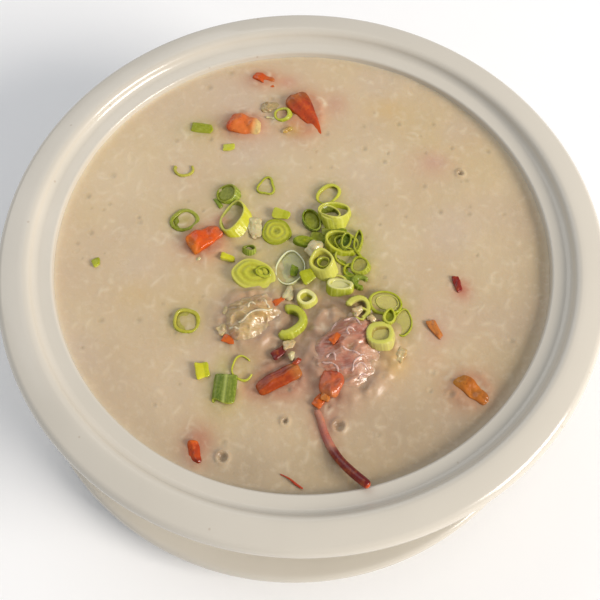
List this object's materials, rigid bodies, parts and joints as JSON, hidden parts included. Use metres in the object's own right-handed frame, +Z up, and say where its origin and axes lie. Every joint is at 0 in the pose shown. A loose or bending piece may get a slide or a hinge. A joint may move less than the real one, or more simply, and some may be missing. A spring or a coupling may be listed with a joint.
{
  "type": "bowl of seafood congee on an underplate",
  "caption": "Wide-rimmed white porcelain tureen bowl filled with thick rice congee, topped with lobster shell and flesh and cut scallion, standing on a round underplate.",
  "frame": {"origin": "centre of the whole piece's bounding box, on the table under the underplate's foot ring", "axes": "+Z up out of the bowl, -Y towards the side of the bowl where the leg leans on the ledge, +X to the right as seen from that side"},
  "size_m": [0.233, 0.23, 0.0807],
  "materials": {
    "porcelain": "gloss",
    "congee": "gloss",
    "lobster_shell": "gloss",
    "lobster_flesh": "gloss",
    "scallion": "satin"
  },
  "bodies": {
    "root": {"bowl": "porcelain", "bulb_pale": "scallion", "claw_shell": "lobster_shell", "congee": "congee", "curl_dark": "scallion", "curl_on_meat": "scallion", "curl_wavy": "scallion", "knuckle_shell": "lobster_shell", "leaf_wedge": "scallion", "leg": "lobster_shell", "meat_centre": "lobster_flesh", "meat_left": "lobster_flesh", "ring_by_claw": "scallion", "ring_clear": "scallion", "ring_cut": "scallion", "ring_film": "scallion", "ring_folded": "scallion", "ring_green_edge": "scallion", "ring_long": "scallion", "ring_slender": "scallion", "ring_sunk": "scallion", "ring_thick": "scallion", "ring_three_cornered": "scallion", "ring_wide": "scallion", "shell_back": "lobster_shell", "shell_centre": "lobster_shell", "shell_chunk": "lobster_shell", "shell_front_left": "lobster_shell", "shell_right": "lobster_shell", "shell_stick": "lobster_shell", "slice_large": "scallion", "slice_layered": "scallion", "tube_back": "scallion", "tube_lying_back": "scallion", "tube_lying_front": "scallion", "tube_pale": "scallion", "tube_small": "scallion", "tube_thick": "scallion", "underplate": "porcelain"}
  },
  "joints": []
}
